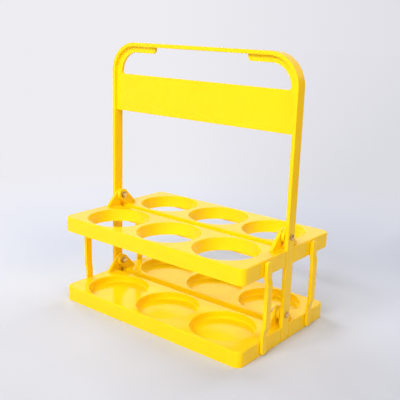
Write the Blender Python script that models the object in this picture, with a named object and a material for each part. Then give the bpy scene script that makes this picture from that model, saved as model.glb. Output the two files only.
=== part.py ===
"""Foldable drink carrier: a handle frame with two levels of tray halves that swing up against it.

Metres, +Z up. +X runs along the long side and -Y is the front.
The origin is on the floor, midway between the ends and between the sides.
"""
import math

import bmesh
import bpy
from mathutils import Matrix, Vector

# Cups: sleeved holes in the upper halves, shallower wells in the lower ones
cups_per_half = 3
cup_radius = 0.039
cup_bridge = 0.0077
cup_depth = 0.0163
cup_side_margin = 0.0046
cup_rim_radius = 0.0010
well_depth = 0.0088
well_floor_radius = 0.0015

# Tray halves
tray_gap = 0.0112
tray_height = 0.0190
level_spacing = 0.0948
plate_thickness = 0.0024
skirt_wall = 0.0026
sleeve_wall = 0.0024
tray_corner_radius = 0.0085
tray_edge_radius = 0.0016

# Handle frame
handle_height = 0.3320
handle_corner_radius = 0.0380
band_thickness = 0.0048
band_depth = 0.0150
band_edge_radius = 0.0008
web_width = 0.0078
web_thickness = 0.0040
web_end_from_middle = 0.0700
web_end_radius = 0.0050
web_edge_radius = 0.0005
panel_height = 0.0480
panel_drop = 0.0404
panel_fillet = 0.0030

# Hinge ears and their bolts
pin_above_tray = 0.0140
ear_thickness = 0.0043
ear_radius = 0.0080
ear_foot_length = 0.0169
ear_toe_height = 0.0020
ear_heel_inset = 0.0006
ear_root_depth = 0.0015
ear_to_cup_gap = 0.0016
bolt_radius = 0.0020
bolt_head_radius = 0.0039
bolt_head_height = 0.0020
bolt_head_rim = 0.0005
bolt_crown_radius = 0.0010
bolt_tail = 0.0008
washer_radius = 0.0048
washer_thickness = 0.0010
nut_across_flats = 0.0070
nut_hex_height = 0.0022
nut_collar_height = 0.0010
nut_collar_radius = 0.0031

# Side links and their snap pegs
link_width = 0.0100
link_thickness = 0.0046
link_foot_thickness = 0.0034
link_stand_off = 0.0016
link_end_reach = 0.0078
link_end_radius = 0.0038
link_foot_rise = 0.0080
link_joggle_length = 0.0100
link_edge_cut = 0.0005
peg_radius = 0.0030
peg_barb_radius = 0.0039
peg_tip_radius = 0.0027
peg_barb_length = 0.0027
peg_root_depth = 0.0010
peg_slot_width = 0.0012
peg_slot_depth = 0.0040

# Clearances
hinge_play = 0.0004
leg_clearance = 0.0003
touch_gap = 0.0003
bore_clearance = 0.0003
cut_overrun = 0.0020

# Facet counts
cup_facets = 40
bore_facets = 16
round_facets = 20
arc_facets = 6
fillet_facets = 2

# Places worked out from the sizes above
cup_pitch = 2 * cup_radius + cup_bridge
ear_outer_face = 0.5 * (cups_per_half - 1) * cup_pitch + cup_radius + ear_to_cup_gap + 2 * ear_thickness + hinge_play
leg_inner_face = ear_outer_face + hinge_play
end_face = leg_inner_face + band_thickness
inner_edge = 0.5 * tray_gap
cup_row = inner_edge + cup_side_margin + cup_radius
outer_edge = cup_row + cup_radius + cup_side_margin
leg_half_depth = 0.5 * band_depth
notch_edge = leg_half_depth + leg_clearance
notch_face = leg_inner_face - leg_clearance
link_inner_face = end_face + touch_gap
skirt_inner_face = end_face - skirt_wall
level_base = {"lower": 0.0, "upper": level_spacing}
side_sign = {"front": -1, "rear": 1}
end_sign = {"left": -1, "right": 1}


def pin_height(level):
    """Height of the hinge bolts of a level."""
    return level_base[level] + tray_height + pin_above_tray


def peg_height(level):
    """Height of the link pegs of a level, half way up its skirt."""
    return level_base[level] + 0.5 * tray_height


def ear_is_outer(side, end):
    """Each half has one ear beside the leg and one further in, because both halves are one moulding."""
    return side_sign[side] * end_sign[end] > 0


def remove_old_objects():
    """Start from an empty scene."""
    for old in list(bpy.data.objects):
        bpy.data.objects.remove(old, do_unlink=True)


def plain_material(name, colour, roughness, metallic):
    """A Principled material of one finish."""
    material = bpy.data.materials.new(name)
    material.use_nodes = True
    shader = material.node_tree.nodes["Principled BSDF"]
    shader.inputs["Base Color"].default_value = (*colour, 1.0)
    shader.inputs["Roughness"].default_value = roughness
    shader.inputs["Metallic"].default_value = metallic
    return material


def tray_plastic():
    """Satin yellow of the tray halves."""
    return plain_material("tray_plastic", (0.95, 0.72, 0.05), 0.38, 0.0)


def handle_plastic():
    """Satin yellow of the handle frame."""
    return plain_material("handle_plastic", (0.96, 0.75, 0.05), 0.35, 0.0)


def link_plastic():
    """Satin yellow of the side links, a little deeper."""
    return plain_material("link_plastic", (0.92, 0.64, 0.04), 0.40, 0.0)


def bolt_steel():
    """Bright zinc of the bolts."""
    return plain_material("bolt_steel", (0.62, 0.58, 0.54), 0.30, 1.0)


def nut_steel():
    """Duller zinc of the nuts and washers."""
    return plain_material("nut_steel", (0.50, 0.47, 0.44), 0.42, 1.0)


def add_object(name, mesh, material, origin=(0.0, 0.0, 0.0)):
    """Link a mesh made in world places, with the object's origin where its joint is."""
    origin = Vector(origin)
    mesh.transform(Matrix.Translation(-origin))
    made = bpy.data.objects.new(name, mesh)
    made.location = origin
    bpy.context.scene.collection.objects.link(made)
    if material is not None:
        mesh.materials.append(material)
    return made


def finish_mesh(name, shape, smooth_angle=30.0):
    """Turn a bmesh into a mesh with its faces out, smooth where it is round."""
    bmesh.ops.recalc_face_normals(shape, faces=shape.faces[:])
    mesh = bpy.data.meshes.new(name)
    shape.to_mesh(mesh)
    shape.free()
    mesh.shade_smooth()
    mesh.set_sharp_from_angle(angle=math.radians(smooth_angle))
    return mesh


def add_cutter(name, mesh):
    """A helper solid that only shapes other pieces."""
    cutter = add_object(name, mesh, None)
    cutter.hide_render = True
    cutter.display_type = "WIRE"
    return cutter


def combine(target, helper, operation):
    """Join a helper solid to a piece, or cut it out."""
    modifier = target.modifiers.new(helper.name, "BOOLEAN")
    modifier.operation = operation
    modifier.object = helper
    modifier.solver = "EXACT"


def round_edges(target, radius, segments):
    """Round the sharp edges of a piece."""
    modifier = target.modifiers.new("edge rounding", "BEVEL")
    modifier.width = radius
    modifier.segments = segments
    modifier.limit_method = "ANGLE"
    modifier.angle_limit = math.radians(40.0)


def arc(centre, radius, start, end, steps):
    """Points on an arc, in degrees, both ends included."""
    points = []
    for step in range(steps + 1):
        angle = math.radians(start + (end - start) * step / steps)
        points.append((centre[0] + radius * math.cos(angle), centre[1] + radius * math.sin(angle)))
    return points


def add_prism(shape, outline, low, high, axis):
    """Extrude a closed outline along an axis: its points are (y, z), (x, z) or (x, y)."""
    def corner(point, along):
        if axis == "X":
            return (along, point[0], point[1])
        if axis == "Y":
            return (point[0], along, point[1])
        return (point[0], point[1], along)

    hoops = [[shape.verts.new(corner(point, along)) for point in outline] for along in (low, high)]
    shape.faces.new(hoops[0])
    shape.faces.new(hoops[-1])
    join_hoops(shape, hoops)


def prism_mesh(name, outline, low, high, axis):
    """A prism as a mesh of its own."""
    shape = bmesh.new()
    add_prism(shape, outline, low, high, axis)
    return finish_mesh(name, shape)


def join_hoops(shape, hoops):
    """Skin a row of closed loops that have the same number of corners."""
    for first, second in zip(hoops, hoops[1:]):
        count = len(first)
        for index in range(count):
            after = (index + 1) % count
            shape.faces.new((first[index], first[after], second[after], second[index]))


def add_turned(shape, profile, centre, axis, facets, ring=False):
    """Turn a profile of (along, radius) points about an axis: a solid with flat ends, or a ring."""
    def corner(along, radius, angle):
        across, up = radius * math.cos(angle), radius * math.sin(angle)
        if axis == "X":
            return (centre[0] + along, centre[1] + across, centre[2] + up)
        return (centre[0] + across, centre[1] + up, centre[2] + along)

    turns = [2 * math.pi * (index + 0.5) / facets for index in range(facets)]
    hoops = [[shape.verts.new(corner(along, radius, angle)) for angle in turns] for along, radius in profile]
    if ring:
        hoops.append(hoops[0])
    else:
        shape.faces.new(hoops[0])
        shape.faces.new(hoops[-1])
    join_hoops(shape, hoops)


def turned_mesh(name, profile, centres, axis, facets):
    """One turned solid at each of some centres, as one mesh."""
    shape = bmesh.new()
    for centre in centres:
        add_turned(shape, profile, centre, axis, facets)
    return finish_mesh(name, shape)


def tray_outline(side, inset):
    """Plan of a tray half, drawn in from its outer faces by an inset, with a notch for each leg."""
    end = end_face - inset
    outer = outer_edge - inset
    inner = inner_edge + inset
    notch = notch_edge + inset
    notch_end = notch_face - inset
    radius = tray_corner_radius - inset
    points = arc((end - radius, outer - radius), radius, 0, 90, arc_facets)
    points += arc((radius - end, outer - radius), radius, 90, 180, arc_facets)
    points += [(-end, notch), (-notch_end, notch), (-notch_end, inner)]
    points += [(notch_end, inner), (notch_end, notch), (end, notch)]
    return [(x, side_sign[side] * y) for x, y in points]


def tray_block(side, level):
    """The solid block of a tray half, with its upper rim rounded."""
    low = level_base[level]
    spring = low + tray_height - tray_edge_radius
    rim = arc((tray_edge_radius, spring), tray_edge_radius, 180, 90, fillet_facets)
    shape = bmesh.new()
    hoops = []
    for inset, height in [(0.0, low)] + rim:
        hoops.append([shape.verts.new((x, y, height)) for x, y in tray_outline(side, inset)])
    shape.faces.new(hoops[0])
    shape.faces.new(hoops[-1])
    join_hoops(shape, hoops)
    return finish_mesh(f"{side}_{level}_tray", shape)


def tray_pocket(side, level):
    """The hollow under a tray half, inside its skirt."""
    low = level_base[level]
    outline = tray_outline(side, skirt_wall)
    return prism_mesh("pocket", outline, low - cut_overrun, low + tray_height - plate_thickness, "Z")


def cup_centres(side, level):
    """Centres of the cups of a tray half, at the height of its plate."""
    top = level_base[level] + tray_height
    middle = 0.5 * (cups_per_half - 1)
    return [((index - middle) * cup_pitch, side_sign[side] * cup_row, top) for index in range(cups_per_half)]


def cup_sleeves(side, level):
    """Walls round the cups: tubes in the upper halves, dishes with a floor in the lower ones."""
    outer = cup_radius + sleeve_wall
    depth = well_depth + plate_thickness if level == "lower" else cup_depth
    profile = [(-depth, outer), (-0.5 * plate_thickness, outer)]
    return turned_mesh("sleeves", profile, cup_centres(side, level), "Z", cup_facets)


def cup_bores(side, level):
    """The open space of the cups, flared at the rim."""
    if level == "lower":
        corner = arc((cup_radius - well_floor_radius, well_floor_radius - well_depth), well_floor_radius,
                     -90, 0, fillet_facets)
        profile = [(along, radius) for radius, along in corner]
    else:
        profile = [(-cup_depth - cut_overrun, cup_radius)]
    flare = arc((cup_radius + cup_rim_radius, -cup_rim_radius), cup_rim_radius, 180, 90, fillet_facets)
    profile += [(along, radius) for radius, along in flare]
    profile.append((cut_overrun, cup_radius + cup_rim_radius))
    return turned_mesh("bores", profile, cup_centres(side, level), "Z", cup_facets)


def ear_outline(side, level):
    """Side view of a hinge ear: a foot on the plate, and a round end about the bolt."""
    foot = -pin_above_tray
    toe = (inner_edge + ear_foot_length, foot + ear_toe_height)
    heel = (inner_edge + ear_heel_inset, foot - ear_root_depth)
    toe_turn = math.degrees(math.atan2(toe[1], toe[0]) + math.acos(ear_radius / math.hypot(*toe)))
    heel_turn = math.degrees(math.atan2(heel[1], heel[0]) - math.acos(ear_radius / math.hypot(*heel))) + 360
    points = [(toe[0], heel[1]), toe]
    points += arc((0, 0), ear_radius, toe_turn, heel_turn, 2 * arc_facets)
    points.append(heel)
    return [(side_sign[side] * across, pin_height(level) + up) for across, up in points]


def ear_span(side, end):
    """Inner and outer face of an ear along X, from the middle outwards."""
    outer = ear_outer_face if ear_is_outer(side, end) else ear_outer_face - ear_thickness - hinge_play
    return outer - ear_thickness, outer


def tray_ears(side, level):
    """Both ears of a tray half."""
    shape = bmesh.new()
    for end in end_sign:
        inner, outer = ear_span(side, end)
        add_prism(shape, ear_outline(side, level), end_sign[end] * inner, end_sign[end] * outer, "X")
    return finish_mesh("ears", shape)


def bolt_bores(level):
    """Holes for the two bolts of a level."""
    reach = end_face + cut_overrun
    start = ear_outer_face - 2 * ear_thickness - hinge_play - cut_overrun
    shape = bmesh.new()
    for sign in end_sign.values():
        radius = bolt_radius + bore_clearance
        profile = [(sign * start, radius), (sign * reach, radius)]
        add_turned(shape, profile, (0, 0, pin_height(level)), "X", bore_facets)
    return finish_mesh("bolt bores", shape)


def peg_bores(side, level):
    """Holes in the end skirts for the pegs of the links."""
    radius = peg_radius + bore_clearance
    low, high = skirt_inner_face - cut_overrun, end_face + cut_overrun
    shape = bmesh.new()
    for sign in end_sign.values():
        profile = [(sign * low, radius), (sign * high, radius)]
        add_turned(shape, profile, (0, side_sign[side] * cup_row, peg_height(level)), "X", bore_facets)
    return finish_mesh("peg bores", shape)


def make_tray(side, level, material):
    """One tray half: a skirted plate with cups, and ears over the hinge bolts."""
    name = f"{side}_{level}_tray"
    tray = add_object(name, tray_block(side, level), material, (0.0, 0.0, pin_height(level)))
    combine(tray, add_cutter(f"{name} pocket", tray_pocket(side, level)), "DIFFERENCE")
    combine(tray, add_cutter(f"{name} sleeves", cup_sleeves(side, level)), "UNION")
    combine(tray, add_cutter(f"{name} ears", tray_ears(side, level)), "UNION")
    combine(tray, add_cutter(f"{name} bores", cup_bores(side, level)), "DIFFERENCE")
    combine(tray, add_cutter(f"{name} bolt bores", bolt_bores(level)), "DIFFERENCE")
    combine(tray, add_cutter(f"{name} peg bores", peg_bores(side, level)), "DIFFERENCE")
    return tray


def band_outline():
    """Front view of the handle's band: up one leg, over the grip and down the other leg."""
    outer = handle_corner_radius
    inner = handle_corner_radius - band_thickness
    centre_x, centre_z = end_face - outer, handle_height - outer
    points = [(end_face, 0)]
    points += arc((centre_x, centre_z), outer, 0, 90, arc_facets)
    points += arc((-centre_x, centre_z), outer, 90, 180, arc_facets)
    points += [(-end_face, 0), (-leg_inner_face, 0)]
    points += arc((-centre_x, centre_z), inner, 180, 90, arc_facets)
    points += arc((centre_x, centre_z), inner, 90, 0, arc_facets)
    points.append((leg_inner_face, 0))
    return points


def web_half_outline():
    """Right half of the web and panel, from the panel's lower edge up and back to its upper edge."""
    sunk = 0.5 * band_thickness
    centre_x, centre_z = end_face - handle_corner_radius, handle_height - handle_corner_radius
    panel_top = handle_height - panel_drop
    inner = handle_corner_radius - band_thickness - web_width
    lower_edge = centre_z + inner
    points = [(end_face - sunk, panel_top - panel_height)]
    points += arc((centre_x, centre_z), handle_corner_radius - sunk, 0, 90, arc_facets)
    points.append((web_end_from_middle, handle_height - sunk))
    points += arc((web_end_from_middle + web_end_radius, lower_edge + web_end_radius), web_end_radius,
                  180, 270, fillet_facets * 2)
    spring = panel_top + panel_fillet
    meet = math.asin(max(0.0, spring - centre_z) / inner)
    fillet_x = centre_x + inner * math.cos(meet) - panel_fillet
    curve = arc((centre_x, centre_z), inner, 90, math.degrees(meet), arc_facets)
    fillet = arc((fillet_x, spring), panel_fillet, 0, -90, fillet_facets)
    return points + curve + (fillet if centre_z > spring else fillet[1:])


def make_handle(material):
    """The handle frame: a flat band bent round two corners, with a panel and web moulded inside it."""
    band = prism_mesh("handle_frame", band_outline(), -leg_half_depth, leg_half_depth, "Y")
    handle = add_object("handle_frame", band, material)
    round_edges(handle, band_edge_radius, fillet_facets)
    right = web_half_outline()
    outline = right + [(-x, z) for x, z in reversed(right)]
    half = 0.5 * web_thickness
    web = add_cutter("handle web", prism_mesh("web", outline, -half, half, "Y"))
    round_edges(web, web_edge_radius, 1)
    combine(handle, web, "UNION")
    for level in level_base:
        combine(handle, add_cutter(f"handle bolt bores {level}", bolt_bores(level)), "DIFFERENCE")
    return handle


def link_stations():
    """Stations up a link: height, half width, inner face and outer face."""
    low = peg_height("lower") - link_end_reach
    high = peg_height("upper") + link_end_reach
    foot = tray_height + link_foot_rise
    head = level_spacing
    inner_foot, inner_bar = link_inner_face, link_inner_face + link_stand_off
    foot_faces = (inner_foot, inner_foot + link_foot_thickness)
    bar_faces = (inner_bar, inner_bar + link_thickness)
    head_faces = (inner_foot, inner_foot + link_thickness)
    flat = 0.5 * link_width - link_end_radius
    turns = [math.radians(90 * step / (2 * fillet_facets)) for step in range(2 * fillet_facets + 1)]
    rounding = [(link_end_radius * (1 - math.cos(turn)), flat + link_end_radius * math.sin(turn)) for turn in turns]
    full = 0.5 * link_width
    stations = [(low + rise, half, *foot_faces) for rise, half in rounding]
    stations += [(foot, full, *foot_faces), (foot + link_joggle_length, full, *bar_faces)]
    stations += [(head - link_joggle_length, full, *bar_faces), (head, full, *head_faces)]
    stations += [(high - rise, half, *head_faces) for rise, half in reversed(rounding)]
    return stations


def link_bar(side, end):
    """The flat joggled bar of a link."""
    sign, middle = end_sign[end], side_sign[side] * cup_row
    cut = link_edge_cut
    shape = bmesh.new()
    hoops = []
    for height, half, inner, outer in link_stations():
        corners = [(inner, cut - half), (inner + cut, -half), (outer - cut, -half), (outer, cut - half),
                   (outer, half - cut), (outer - cut, half), (inner + cut, half), (inner, half - cut)]
        hoops.append([shape.verts.new((sign * x, middle + y, height)) for x, y in corners])
    shape.faces.new(hoops[0])
    shape.faces.new(hoops[-1])
    join_hoops(shape, hoops)
    return finish_mesh(f"{side}_{end}_link", shape)


def link_pegs(side, end):
    """The snap pegs of a link: a shank through each skirt, and a barb behind it."""
    sign, middle = end_sign[end], side_sign[side] * cup_row
    barb = skirt_inner_face - touch_gap
    shank = [(link_inner_face + peg_root_depth, peg_radius), (barb, peg_radius),
             (barb, peg_barb_radius), (barb - peg_barb_length, peg_tip_radius)]
    profile = [(sign * along, radius) for along, radius in shank]
    centres = [(0, middle, peg_height(level)) for level in level_base]
    return turned_mesh("pegs", profile, centres, "X", bore_facets)


def peg_slots(side, end):
    """The slot that splits each peg so that its barb can spring in."""
    sign, middle = end_sign[end], side_sign[side] * cup_row
    tip = skirt_inner_face - touch_gap - peg_barb_length
    half = 0.5 * peg_slot_width
    reach = peg_barb_radius + cut_overrun
    shape = bmesh.new()
    for level in level_base:
        height = peg_height(level)
        outline = [(middle - half, height - reach), (middle + half, height - reach),
                   (middle + half, height + reach), (middle - half, height + reach)]
        add_prism(shape, outline, sign * (tip - cut_overrun), sign * (tip + peg_slot_depth), "X")
    return finish_mesh("slots", shape)


def make_link(side, end, material):
    """One side link, which swings on its lower peg."""
    name = f"{side}_{end}_link"
    pivot = (end_sign[end] * link_inner_face, side_sign[side] * cup_row, peg_height("lower"))
    link = add_object(name, link_bar(side, end), material, pivot)
    combine(link, add_cutter(f"{name} pegs", link_pegs(side, end)), "UNION")
    combine(link, add_cutter(f"{name} slots", peg_slots(side, end)), "DIFFERENCE")
    return link


def stack_faces():
    """Faces of the washer, nut and bolt tail along X, from the middle outwards."""
    ear_face = ear_outer_face - 2 * ear_thickness - hinge_play
    washer_outer = ear_face - touch_gap
    washer_inner = washer_outer - washer_thickness
    nut_outer = washer_inner - touch_gap
    nut_inner = nut_outer - nut_hex_height - nut_collar_height
    return washer_outer, washer_inner, nut_outer, nut_inner


def make_bolt(level, end, material):
    """A hinge bolt: a low domed head outside the leg, and a shank through the leg and both ears."""
    seat = end_face + touch_gap
    tail = stack_faces()[3] - bolt_tail
    rim = seat + bolt_head_rim
    rise = bolt_head_height - bolt_head_rim
    crown = [math.radians(90 * step / (2 * fillet_facets)) for step in range(2 * fillet_facets + 1)]
    fall = bolt_head_radius - bolt_crown_radius
    profile = [(tail, bolt_radius), (seat, bolt_radius), (seat, bolt_head_radius)]
    profile += [(rim + rise * math.sin(turn), bolt_crown_radius + fall * math.cos(turn)) for turn in crown]
    profile = [(end_sign[end] * along, radius) for along, radius in profile]
    name = f"{level}_{end}_hinge_bolt"
    mesh = turned_mesh(name, profile, [(0, 0, pin_height(level))], "X", round_facets)
    return add_object(name, mesh, material, (end_sign[end] * end_face, 0.0, pin_height(level)))


def make_washer(level, end, material):
    """A flat washer between the inner ear and the nut."""
    outer_face, inner_face = stack_faces()[:2]
    bore = bolt_radius + bore_clearance
    sign = end_sign[end]
    section = [(outer_face, bore), (outer_face, washer_radius), (inner_face, washer_radius), (inner_face, bore)]
    profile = [(sign * along, radius) for along, radius in section]
    name = f"{level}_{end}_hinge_washer"
    shape = bmesh.new()
    add_turned(shape, profile, (0, 0, pin_height(level)), "X", round_facets, ring=True)
    return add_object(name, finish_mesh(name, shape), material, (sign * outer_face, 0.0, pin_height(level)))


def make_nut(level, end, material):
    """A hexagon lock nut with a round collar."""
    nut_outer, nut_inner = stack_faces()[2:]
    sign = end_sign[end]
    height = pin_height(level)
    corner = 0.5 * nut_across_flats / math.cos(math.radians(30))
    outline = [(y, height + z) for y, z in arc((0, 0), corner, 0, 300, 5)]
    name = f"{level}_{end}_lock_nut"
    hexagon = prism_mesh(name, outline, sign * nut_outer, sign * (nut_inner + nut_collar_height), "X")
    nut = add_object(name, hexagon, material, (sign * nut_outer, 0.0, height))
    centre = [(0, 0, height)]
    root = nut_inner + nut_collar_height + 0.5 * nut_hex_height
    collar = [(root, nut_collar_radius), (nut_inner, nut_collar_radius)]
    collar = [(sign * along, radius) for along, radius in collar]
    combine(nut, add_cutter(f"{name} collar", turned_mesh("collar", collar, centre, "X", round_facets)), "UNION")
    bore = bolt_radius + bore_clearance
    low, high = nut_inner - cut_overrun, nut_outer + cut_overrun
    hole = [(sign * low, bore), (sign * high, bore)]
    combine(nut, add_cutter(f"{name} bore", turned_mesh("bore", hole, centre, "X", bore_facets)), "DIFFERENCE")
    return nut


def main():
    """Make every piece of the carrier."""
    remove_old_objects()
    plastic, bolts, nuts = tray_plastic(), bolt_steel(), nut_steel()
    make_handle(handle_plastic())
    for side in side_sign:
        for level in level_base:
            make_tray(side, level, plastic)
    bars = link_plastic()
    for side in side_sign:
        for end in end_sign:
            make_link(side, end, bars)
    for level in level_base:
        for end in end_sign:
            make_bolt(level, end, bolts)
            make_washer(level, end, nuts)
            make_nut(level, end, nuts)


main()
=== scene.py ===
"""Looks of the foldable drink carrier: glossy yellow mouldings, zinc bolts and a pale studio.

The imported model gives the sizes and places. Each moulding is made again here with fine curves, rounded
edges and its underside, and rides on the body that it stands for. Metres, +Z up, -Y is the front.
"""
import math

import bmesh
import bpy
from mathutils import Matrix, Vector


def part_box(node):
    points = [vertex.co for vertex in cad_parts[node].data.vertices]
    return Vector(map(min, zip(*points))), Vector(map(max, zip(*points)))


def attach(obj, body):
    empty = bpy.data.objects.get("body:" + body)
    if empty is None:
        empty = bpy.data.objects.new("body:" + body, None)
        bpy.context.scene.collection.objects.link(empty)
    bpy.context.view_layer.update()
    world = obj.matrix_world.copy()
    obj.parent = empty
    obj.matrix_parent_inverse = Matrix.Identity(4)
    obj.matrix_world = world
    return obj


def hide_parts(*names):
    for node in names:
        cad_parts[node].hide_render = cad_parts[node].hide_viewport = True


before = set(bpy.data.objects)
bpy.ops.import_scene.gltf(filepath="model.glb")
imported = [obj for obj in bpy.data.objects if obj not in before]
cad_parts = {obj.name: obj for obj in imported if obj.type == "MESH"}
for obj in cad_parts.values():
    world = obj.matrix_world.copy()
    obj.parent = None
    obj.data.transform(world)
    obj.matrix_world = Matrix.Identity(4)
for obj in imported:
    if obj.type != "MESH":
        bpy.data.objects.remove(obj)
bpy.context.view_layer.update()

# Cups
CUPS_PER_HALF = 3
CUP_RADIUS = 0.0390
CUP_BRIDGE = 0.0077
CUP_SIDE_MARGIN = 0.0046
CUP_DEPTH = 0.0163
CUP_RIM_ROUNDING = 0.0011
SLEEVE_WALL = 0.0024
SLEEVE_FOOT_ROUNDING = 0.0005
WELL_DEPTH = 0.0088
WELL_CORNER = 0.0018

# Tray halves
TRAY_HEIGHT = 0.0190
TRAY_GAP = 0.0112
PLATE_THICKNESS = 0.0024
SKIRT_WALL = 0.0026
TRAY_CORNER = 0.0085
TRAY_RIM_ROUNDING = 0.0017
SKIRT_FOOT_ROUNDING = 0.0004
NOTCH_CORNER = 0.0022
NOTCH_ROOT = 0.0010
LEG_CLEARANCE = 0.0003
RIB_THICKNESS = 0.0014
RIB_LIFT = 0.0040
RIB_OFFSET = 0.0130
EJECTOR_RADIUS = 0.0022
EJECTOR_DEPTH = 0.0002
GATE_RADIUS = 0.0011
GATE_HEIGHT = 0.0004

# Hinge ears
PIN_ABOVE_TRAY = 0.0140
EAR_THICKNESS = 0.0043
EAR_RADIUS = 0.0080
EAR_FOOT = 0.0169
EAR_TOE = 0.0020
EAR_HEEL_INSET = 0.0006
EAR_ROOT = 0.0140
EAR_ROUNDING = 0.0005
HINGE_PLAY = 0.0004

# Handle frame
BAND_THICKNESS = 0.0048
HANDLE_CORNER = 0.0380
BAND_ROUNDING = 0.0010
WEB_WIDTH = 0.0078
WEB_THICKNESS = 0.0040
WEB_ROUNDING = 0.0006
WEB_END = 0.0700
WEB_END_CORNER = 0.0050
PANEL_HEIGHT = 0.0480
PANEL_DROP = 0.0404
PANEL_FILLET = 0.0030
WEB_ROOT = 0.0028

# Links and their pegs
LINK_END_RADIUS = 0.0042
LINK_ROUNDING = 0.0007
LINK_THICKNESS = 0.0046
LINK_FOOT_THICKNESS = 0.0034
LINK_STAND_OFF = 0.0016
LINK_FOOT_RISE = 0.0080
LINK_JOGGLE = 0.0100
PEG_RADIUS = 0.0030
PEG_BARB = 0.0039
PEG_TIP = 0.0027
PEG_BARB_LENGTH = 0.0027
PEG_ROOT = 0.0010
PEG_SLOT = 0.0012
PEG_SLOT_DEPTH = 0.0040

# Bolts, washers and nuts
BOLT_RADIUS = 0.0020
BOLT_HEAD_RADIUS = 0.0039
BOLT_HEAD_HEIGHT = 0.0020
BOLT_HEAD_RIM = 0.0005
BOLT_THREAD_PITCH = 0.0007
BOLT_THREAD_DEPTH = 0.0003
BOLT_THREAD_LENGTH = 0.0052
THREAD_CREST_SHARES = (0.45, 0.55)
WASHER_RADIUS = 0.0048
WASHER_ROUNDING = 0.0002
NUT_SIDES = 6
NUT_ACROSS_FLATS = 0.0070
NUT_COLLAR_HEIGHT = 0.0010
NUT_COLLAR_RADIUS = 0.0031
NUT_CHAMFER = 0.0004
NYLON_RADIUS = 0.0026

# Fits
TOUCH_GAP = 0.0003
BORE_CLEARANCE = 0.0003
HOLE_CHAMFER = 0.0004
CUT_OVERRUN = 0.0020

# Fineness of the curves
CUP_FACETS = 120
BORE_FACETS = 32
HEAD_FACETS = 48
CORNER_STEPS = 20
FILLET_STEPS = 5
SMALL_STEPS = 3
JOGGLE_STEPS = 10
FLOOR_CORNERS = 72
SMOOTH_ANGLE = 35.0

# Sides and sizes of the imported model
FRONT = -1
LEVELS = ("lower", "upper")
SIDES = {"front": -1, "rear": 1}
ENDS = {"left": -1, "right": 1}
HANDLE_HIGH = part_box("handle_frame")[1]
END_FACE = HANDLE_HIGH.x
HALF_BAND = HANDLE_HIGH.y
HANDLE_TOP = HANDLE_HIGH.z
LEG_INNER = END_FACE - BAND_THICKNESS
EAR_OUTER = LEG_INNER - HINGE_PLAY
INNER_EDGE = 0.5 * TRAY_GAP
CUP_ROW = INNER_EDGE + CUP_SIDE_MARGIN + CUP_RADIUS
OUTER_EDGE = CUP_ROW + CUP_RADIUS + CUP_SIDE_MARGIN
CUP_PITCH = 2 * CUP_RADIUS + CUP_BRIDGE
NOTCH_EDGE = HALF_BAND + LEG_CLEARANCE
NOTCH_FACE = LEG_INNER - LEG_CLEARANCE
SKIRT_INNER = END_FACE - SKIRT_WALL
LEVEL_BASE = {level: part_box(f"front_{level}_tray")[0].z for level in LEVELS}
PIN_HEIGHT = {level: LEVEL_BASE[level] + TRAY_HEIGHT + PIN_ABOVE_TRAY for level in LEVELS}
PEG_HEIGHT = {level: LEVEL_BASE[level] + 0.5 * TRAY_HEIGHT for level in LEVELS}
LINK_FOOT_TOP = LEVEL_BASE["lower"] + TRAY_HEIGHT + LINK_FOOT_RISE
LINK_HEAD_FOOT = LEVEL_BASE["upper"]

# Camera, fitted to the photograph
PHOTO_SIZE = 400
FOCAL_PIXELS = 662.06
OPTICAL_CENTRE_PIXELS = (199.37, 197.01)
SENSOR_WIDTH_MM = 36.0
CAMERA_TURN = 38.33
CAMERA_TILT = 14.76
CAMERA_ROLL = 1.82
CAMERA_DISTANCE = 0.8289
CAMERA_AIM = Vector((0.0, 0.0, 0.1400))
CAMERA_SLIDE = (0.0049, 0.0079)

# Studio
FLOOR_RADIUS = 9.0
SOFTBOX_AIM = Vector((0.0, 0.0, 0.12))
SOFTBOX_DISTANCE = 2.4
WHITE = (1.0, 1.0, 1.0)
WARM_WHITE = (1.0, 0.74, 0.42)
# Name, turn from the front, height angle, width, height, watts and colour of each softbox
SOFTBOXES = (("key", 3, 34, 1.6, 1.0, 60.0, WHITE),
             ("left", -105, 20, 1.4, 1.0, 46.0, WHITE),
             ("back", 180, 20, 1.4, 1.0, 42.0, WHITE),
             ("right", 75, 26, 1.0, 1.0, 25.0, WARM_WHITE))
# Place from the far left, 0, to the far right, 1, of each tone of the studio's far side
FAR_TONES = ((0.04, (1.0, 1.0, 1.0, 1.0)), (0.14, (0.85, 0.845, 0.89, 1.0)),
             (0.475, (0.85, 0.845, 0.89, 1.0)), (0.71, (0.71, 0.71, 0.76, 1.0)),
             (0.86, (0.70, 0.70, 0.75, 1.0)), (0.95, (0.22, 0.22, 0.23, 1.0)))
# Tone above the far side, and the heights over which it comes in
ROOF_TONE = (1.0, 1.0, 1.0, 1.0)
ROOF_RISE = (0.10, 0.30)
# Paper near the carrier: lighter on the left, darker and bluer on the right, a painted shade for the side
# away from the light
NEAR_LEFT_PAPER = (0.64, 0.673, 0.767, 1.0)
NEAR_RIGHT_PAPER = (0.555, 0.605, 0.735, 1.0)
PAPER_MOTTLING = 0.10
# Metres to the right over which the paper changes into its painted shade, and metres out over which it melts
# away
PAPER_SHADE_LEAN = (-0.25, 0.40)
PAPER_FADE = (0.25, 0.85)

# Colour, deep colour and rubbed colour of each plastic
YELLOWS = ((0.99, 0.67, 0.002, 1.0), (0.98, 0.64, 0.002, 1.0), (0.99, 0.70, 0.02, 1.0))
NYLON_WHITES = ((0.80, 0.79, 0.74, 1.0), (0.72, 0.71, 0.66, 1.0), (0.88, 0.87, 0.84, 1.0))
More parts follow.
